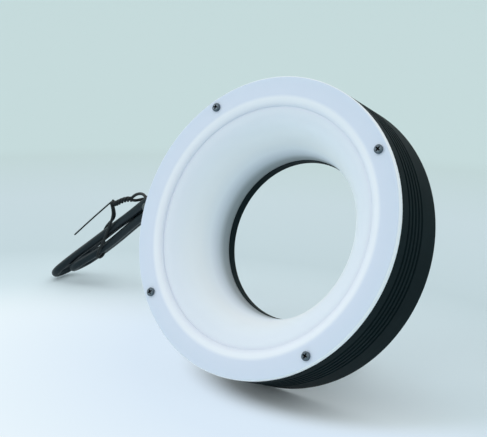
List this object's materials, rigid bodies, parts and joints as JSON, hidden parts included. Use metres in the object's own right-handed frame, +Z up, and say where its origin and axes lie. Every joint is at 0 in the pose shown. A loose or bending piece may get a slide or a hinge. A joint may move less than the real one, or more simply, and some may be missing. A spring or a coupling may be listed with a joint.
{
  "type": "machine vision ring light",
  "caption": "Round LED ring light for a machine vision camera: grooved black housing, white bell-shaped diffuser round a central view bore, tied cable with a round threaded plug.",
  "frame": {"origin": "bottom centre of the ring's box, on the floor that the ring, the folded cable and the plug rest on", "axes": "+Z up; the light faces -Y and leans back, so its optical axis points along -Y and 23.92 degrees upwards; +X to the right seen from the front"},
  "size_m": [0.2996, 0.1297, 0.1522],
  "materials": {
    "diffuser_acrylic": "frosted white acrylic",
    "black_anodised": "fine matt black anodised",
    "black_steel": "black oxide",
    "plain_steel": "plain",
    "silicone_pad": "soft matt",
    "white_board": "white solder mask",
    "led_package": "clear over phosphor",
    "resistor_body": "glazed",
    "solder": "bright",
    "red_insulation": "smooth",
    "black_insulation": "smooth",
    "natural_nylon": "moulded",
    "black_moulding": "fine matt",
    "cable_jacket": "satin",
    "tie_coating": "satin",
    "contact_carrier": "moulded",
    "gold_contact": "gold plated",
    "nickel_brass": "nickel plated"
  },
  "bodies": {
    "light": {"bell_diffuser": "diffuser_acrylic", "housing_shell": "black_anodised", "rear_cover": "black_anodised", "flange_screws": "black_steel", "cover_screws": "black_steel", "board_screws": "plain_steel", "thermal_pad": "silicone_pad", "led_board": "white_board", "leds": "led_package", "resistors": "resistor_body", "solder_joints": "solder", "lead_positive": "red_insulation", "lead_negative": "black_insulation", "inner_cable_tie": "natural_nylon", "cable_bush": "black_moulding", "cable_entry": "cable_jacket", "cord_lead": "cable_jacket", "cord_hank": "cable_jacket", "cord_tail": "cable_jacket", "twist_tie": "tie_coating", "plug_body": "black_moulding", "plug_carrier": "contact_carrier", "plug_pins": "gold_contact"},
    "coupling": {"plug_coupling": "nickel_brass"}
  },
  "joints": [
    {"name": "coupling_turn", "type": "hinge", "parent": "light", "child": "coupling", "pos_m": [0.0155, 0.028, 0.0074], "axis": [1, 0, 0], "continuous": true}
  ]
}
